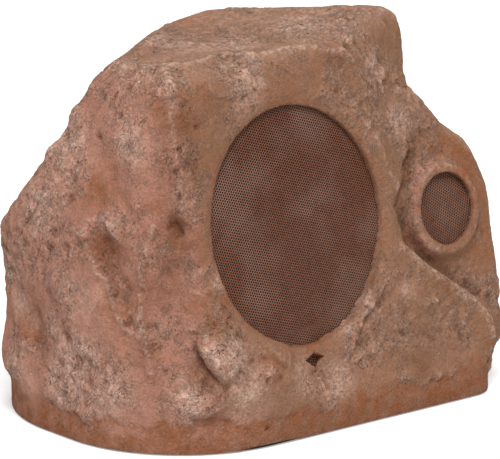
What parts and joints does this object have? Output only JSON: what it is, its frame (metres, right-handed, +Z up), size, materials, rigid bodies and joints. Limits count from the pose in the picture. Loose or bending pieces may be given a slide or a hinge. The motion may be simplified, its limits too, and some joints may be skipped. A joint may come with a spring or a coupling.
{
  "type": "rock shaped garden speaker",
  "caption": "Two-way garden loudspeaker in a hollow cast shell shaped like a weathered boulder, with a round woofer grille and a smaller tweeter grille in its front.",
  "frame": {"origin": "middle of the base plate's underside, which rests on the ground", "axes": "+Z up, -Y out of the front face with the two grilles, +X to the right along the longest side"},
  "size_m": [0.4188, 0.3229, 0.3446],
  "materials": {
    "rock_cast": "matte, textured like weathered sandstone",
    "grille_paint": "brown powder coat",
    "base_plastic": "moulded, matte",
    "gasket_foam": "closed-cell foam",
    "screw_steel": "zinc plated",
    "gland_nylon": "moulded nylon",
    "gland_rubber": "soft rubber",
    "baffle_board": "sealed fibreboard",
    "frame_steel": "black stamped steel",
    "motor_steel": "plated",
    "ferrite": "sintered, matte",
    "cone_poly": "moulded cone",
    "surround_rubber": "butyl rubber",
    "spider_cloth": "phenolic cloth",
    "former_aluminium": "thin foil",
    "winding_copper": "enamelled copper wire",
    "faceplate_plastic": "moulded, matte",
    "dome_silk": "coated cloth dome",
    "board_laminate": "laminate",
    "capacitor_film": "wrapped film",
    "resistor_ceramic": "ceramic",
    "terminal_plastic": "moulded",
    "solder_strip": "tinned strip",
    "lead_red": "flexible insulation"
  },
  "bodies": {
    "enclosure": {"rock_shell": "rock_cast", "base_plate": "base_plastic", "base_gasket": "gasket_foam", "base_screws": "screw_steel", "cable_gland_body": "gland_nylon", "cable_gland_nut": "gland_nylon", "cable_gland_cap": "gland_nylon", "cable_gland_seal": "gland_rubber", "woofer_grille": "grille_paint", "tweeter_grille": "grille_paint", "woofer_grille_gasket": "gasket_foam", "woofer_baffle": "baffle_board", "woofer_gasket": "gasket_foam", "woofer_basket": "frame_steel", "woofer_screws": "screw_steel", "woofer_top_plate": "motor_steel", "woofer_magnet": "ferrite", "woofer_yoke": "motor_steel", "woofer_surround": "surround_rubber", "woofer_spider": "spider_cloth", "woofer_terminal": "solder_strip", "tweeter_gasket": "gasket_foam", "tweeter_faceplate": "faceplate_plastic", "tweeter_diaphragm": "dome_silk", "tweeter_voice_coil": "winding_copper", "tweeter_top_plate": "motor_steel", "tweeter_magnet": "ferrite", "tweeter_yoke": "motor_steel", "tweeter_clamp_ring": "frame_steel", "tweeter_screws": "screw_steel", "tweeter_terminal": "solder_strip", "crossover_board": "board_laminate", "crossover_screws": "screw_steel", "woofer_inductor": "winding_copper", "tweeter_inductor": "winding_copper", "crossover_capacitors": "capacitor_film", "crossover_resistor": "resistor_ceramic", "crossover_terminal_block": "terminal_plastic", "woofer_lead": "lead_red", "tweeter_lead": "lead_red"},
    "moving_cone": {"woofer_cone": "cone_poly", "woofer_dust_cap": "cone_poly", "woofer_coil_former": "former_aluminium", "woofer_voice_coil": "winding_copper"}
  },
  "joints": [
    {"name": "cone_stroke", "type": "slide", "parent": "enclosure", "child": "moving_cone", "axis": [0, -0.9871, 0.1599], "range_m": [-0.004, 0.004], "stiffness_N_per_m": 1500, "deforming": ["woofer_surround", "woofer_spider"]}
  ]
}
